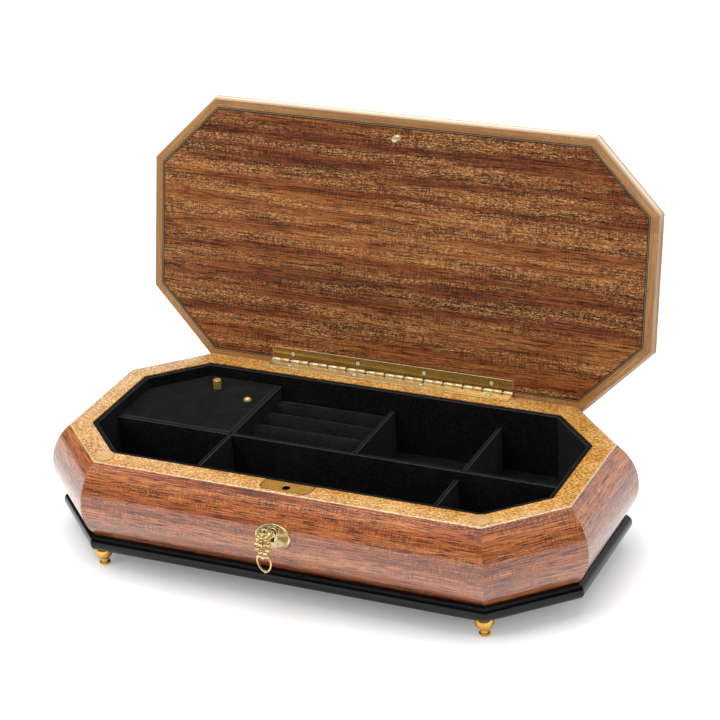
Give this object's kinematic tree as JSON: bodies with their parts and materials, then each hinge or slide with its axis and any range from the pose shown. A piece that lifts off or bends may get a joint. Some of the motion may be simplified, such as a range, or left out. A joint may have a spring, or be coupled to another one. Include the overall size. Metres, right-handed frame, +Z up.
{
  "type": "music box",
  "caption": "Eight-sided veneered musical jewellery box with a hinged lid, lined trays, ring rolls and a pinned-cylinder movement under a cover.",
  "frame": {"origin": "middle of the case on the surface that the feet stand on", "axes": "+X along the box to its right, +Z up, -Y to the front"},
  "size_m": [0.3448, 0.2244, 0.2283],
  "materials": {
    "side_veneer": "figured red-brown veneer, high gloss lacquer",
    "rim_veneer": "golden figured veneer, gloss lacquer",
    "black_lacquer": "black high gloss lacquer",
    "plain_wood": "plain board, not finished",
    "brass": "polished",
    "steel": "bright",
    "velvet": "black velvet flock",
    "clear_rubber": "clear soft bumper",
    "lid_veneer": "ribbon-striped veneer, gloss lacquer",
    "maple": "tan solid wood, gloss lacquer",
    "string_inlay": "dark inlaid line, gloss lacquer"
  },
  "bodies": {
    "case": {"wall_front": "side_veneer", "wall_back": "side_veneer", "wall_left": "side_veneer", "wall_right": "side_veneer", "wall_front_left": "side_veneer", "wall_front_right": "side_veneer", "wall_back_left": "side_veneer", "wall_back_right": "side_veneer", "rim": "rim_veneer", "plinth": "black_lacquer", "bottom_panel": "plain_wood", "feet": "brass", "foot_screws": "steel", "wall_lining": "velvet", "floor_pad": "velvet", "ring_base": "plain_wood", "divider_long": "velvet", "divider_bay": "velvet", "divider_ring": "velvet", "divider_right": "velvet", "ring_roll_1": "velvet", "ring_roll_2": "velvet", "ring_roll_3": "velvet", "ring_roll_4": "velvet", "movement_cover": "velvet", "cover_posts": "plain_wood", "cover_screw": "brass", "bumpers": "clear_rubber", "hinge_body_leaf": "brass", "hinge_pin": "steel", "hinge_body_screws": "brass", "lock_plate": "brass", "lock_case": "brass", "escutcheon": "brass", "escutcheon_pins": "brass", "bedplate": "brass", "movement_screws": "steel", "comb": "steel", "comb_screws": "brass", "ratchet_click": "steel", "governor_frame": "brass"},
    "lid": {"lid_board": "plain_wood", "lid_edging": "maple", "lid_string": "string_inlay", "lid_inner_veneer": "lid_veneer", "lid_top_veneer": "lid_veneer", "hinge_lid_leaf": "brass", "hinge_lid_screws": "brass", "lock_strike": "brass"},
    "key": {"key_shank": "brass"},
    "bow": {"key_bow": "brass"},
    "bolt": {"lock_bolt": "steel"},
    "knob": {"start_knob": "brass"},
    "winder": {"winding_arbor": "steel", "winding_key": "brass"},
    "cylinder": {"pinned_cylinder": "brass"},
    "barrel": {"spring_barrel": "brass", "mainspring": "steel"},
    "governor": {"governor_wheel": "brass"},
    "fly": {"fly": "steel"}
  },
  "joints": [
    {"name": "lid_hinge", "type": "hinge", "parent": "case", "child": "lid", "pos_m": [0, 0.0787, 0.06955], "axis": [1, 0, 0], "range_deg": [0, 101.4]},
    {"name": "key_turn", "type": "hinge", "parent": "case", "child": "key", "pos_m": [-0.0012, -0.0884, 0.04925], "axis": [0, -1, 0], "range_deg": [0, 90]},
    {"name": "bow_swing", "type": "hinge", "parent": "key", "child": "bow", "pos_m": [-0.0012, -0.1019, 0.04925], "axis": [1, 0, 0], "range_deg": [-30, 30]},
    {"name": "bolt_slide", "type": "slide", "parent": "case", "child": "bolt", "axis": [1, 0, 0], "range_m": [0, 0.0035]},
    {"name": "start_slide", "type": "slide", "parent": "case", "child": "knob", "axis": [0, 0, 1], "range_m": [-0.0025, 0]},
    {"name": "winding_turn", "type": "hinge", "parent": "case", "child": "winder", "pos_m": [-0.0865, 0.019, 0.024], "axis": [0, 0, 1], "continuous": true},
    {"name": "cylinder_spin", "type": "hinge", "parent": "case", "child": "cylinder", "pos_m": [-0.1154, 0.019, 0.0443], "axis": [1, 0, 0], "continuous": true},
    {"name": "barrel_spin", "type": "hinge", "parent": "case", "child": "barrel", "pos_m": [-0.0865, 0.019, 0.035], "axis": [0, 0, 1], "continuous": true},
    {"name": "governor_spin", "type": "hinge", "parent": "case", "child": "governor", "pos_m": [-0.13, 0.029, 0.0443], "axis": [1, 0, 0], "continuous": true},
    {"name": "fly_spin", "type": "hinge", "parent": "case", "child": "fly", "pos_m": [-0.1324, 0.0353, 0.0443], "axis": [0, 0, 1], "continuous": true}
  ],
  "couplings": [
    {"joint": "bolt_slide", "follows": "key_turn", "m_per_rad": 0.002228},
    {"joint": "barrel_spin", "follows": "cylinder_spin", "ratio": -0.3},
    {"joint": "governor_spin", "follows": "cylinder_spin", "ratio": -4},
    {"joint": "fly_spin", "follows": "cylinder_spin", "ratio": 40}
  ]
}
